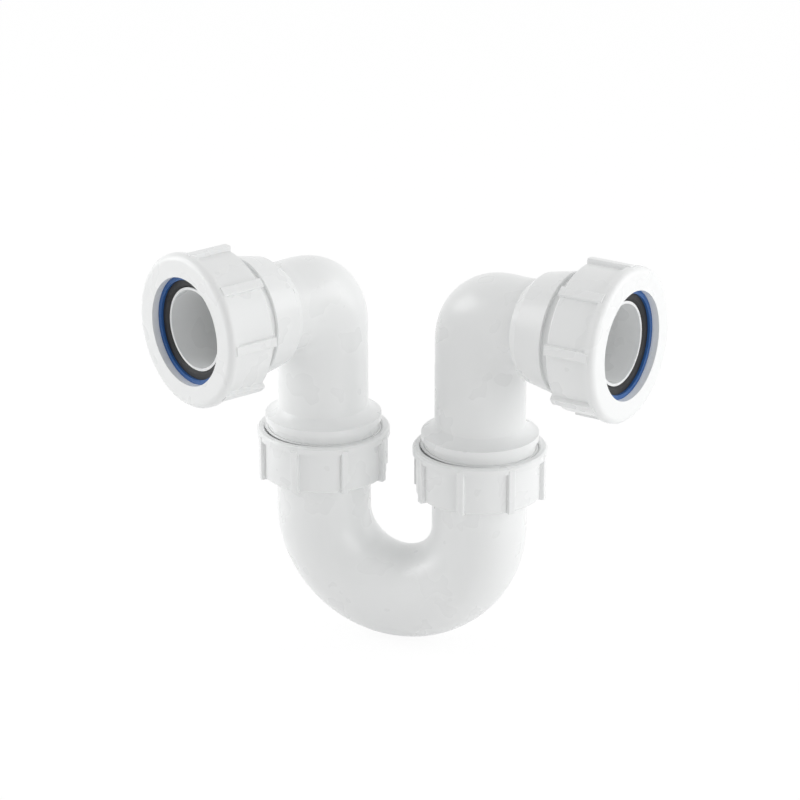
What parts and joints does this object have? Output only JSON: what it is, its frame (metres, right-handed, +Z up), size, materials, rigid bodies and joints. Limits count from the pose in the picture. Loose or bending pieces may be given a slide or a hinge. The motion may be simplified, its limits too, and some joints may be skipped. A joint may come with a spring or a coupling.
{
  "type": "running trap",
  "caption": "U-shaped running trap for a waste pipe: swivelling elbows stand on a U-bend in ribbed union nuts, and ribbed nuts with rubber seals grip the pipe ends.",
  "frame": {"origin": "centre of the inlet pipe socket's mouth", "axes": "+Z up, +X along the U-bend from the inlet leg to the outlet leg, -Y towards the viewer of the picture"},
  "size_m": [0.2245, 0.1124, 0.1946],
  "materials": {
    "white_plastic": "glossy moulded",
    "black_rubber": "matte",
    "blue_plastic": "satin"
  },
  "bodies": {
    "inlet_elbow": {"inlet_elbow": "white_plastic", "inlet_socket": "white_plastic", "inlet_seal": "black_rubber"},
    "u_bend": {"u_bend": "white_plastic", "inlet_union_washer": "black_rubber", "outlet_union_washer": "black_rubber"},
    "outlet_elbow": {"outlet_elbow": "white_plastic", "outlet_socket": "white_plastic", "outlet_seal": "black_rubber"},
    "inlet_union_nut": {"inlet_union_nut": "white_plastic"},
    "outlet_union_nut": {"outlet_union_nut": "white_plastic"},
    "inlet_slip_washer": {"inlet_slip_washer": "blue_plastic"},
    "outlet_slip_washer": {"outlet_slip_washer": "blue_plastic"},
    "inlet_pipe_nut": {"inlet_pipe_nut": "white_plastic"},
    "outlet_pipe_nut": {"outlet_pipe_nut": "white_plastic"}
  },
  "joints": [
    {"name": "inlet_swivel", "type": "hinge", "parent": "inlet_elbow", "child": "u_bend", "pos_m": [0.03689, 0.05996, -0.075], "axis": [0, 0, 1], "range_deg": [-31, 148]},
    {"name": "outlet_swivel", "type": "hinge", "parent": "u_bend", "child": "outlet_elbow", "pos_m": [0.11189, 0.05996, -0.075], "axis": [0, 0, 1], "range_deg": [-77, 103]},
    {"name": "inlet_union_turn", "type": "hinge", "parent": "u_bend", "child": "inlet_union_nut", "pos_m": [0.03689, 0.05996, -0.072], "axis": [0, 0, 1], "continuous": true},
    {"name": "outlet_union_turn", "type": "hinge", "parent": "u_bend", "child": "outlet_union_nut", "pos_m": [0.11189, 0.05996, -0.072], "axis": [0, 0, 1], "continuous": true},
    {"name": "inlet_nut_travel", "type": "slide", "parent": "inlet_elbow", "child": "inlet_slip_washer", "axis": [-0.524, -0.8517, 0], "range_m": [0, 0.012]},
    {"name": "inlet_nut_turn", "type": "hinge", "parent": "inlet_slip_washer", "child": "inlet_pipe_nut", "pos_m": [0, 0, 0], "axis": [-0.524, -0.8517, 0], "range_deg": [0, 1080]},
    {"name": "outlet_nut_travel", "type": "slide", "parent": "outlet_elbow", "child": "outlet_slip_washer", "axis": [0.9744, -0.225, 0], "range_m": [0, 0.012]},
    {"name": "outlet_nut_turn", "type": "hinge", "parent": "outlet_slip_washer", "child": "outlet_pipe_nut", "pos_m": [0.18048, 0.04412, 0], "axis": [0.9744, -0.225, 0], "range_deg": [0, 1080]}
  ],
  "couplings": [
    {"joint": "inlet_nut_travel", "follows": "inlet_nut_turn", "m_per_rad": 0.0006363},
    {"joint": "outlet_nut_travel", "follows": "outlet_nut_turn", "m_per_rad": 0.0006363}
  ]
}
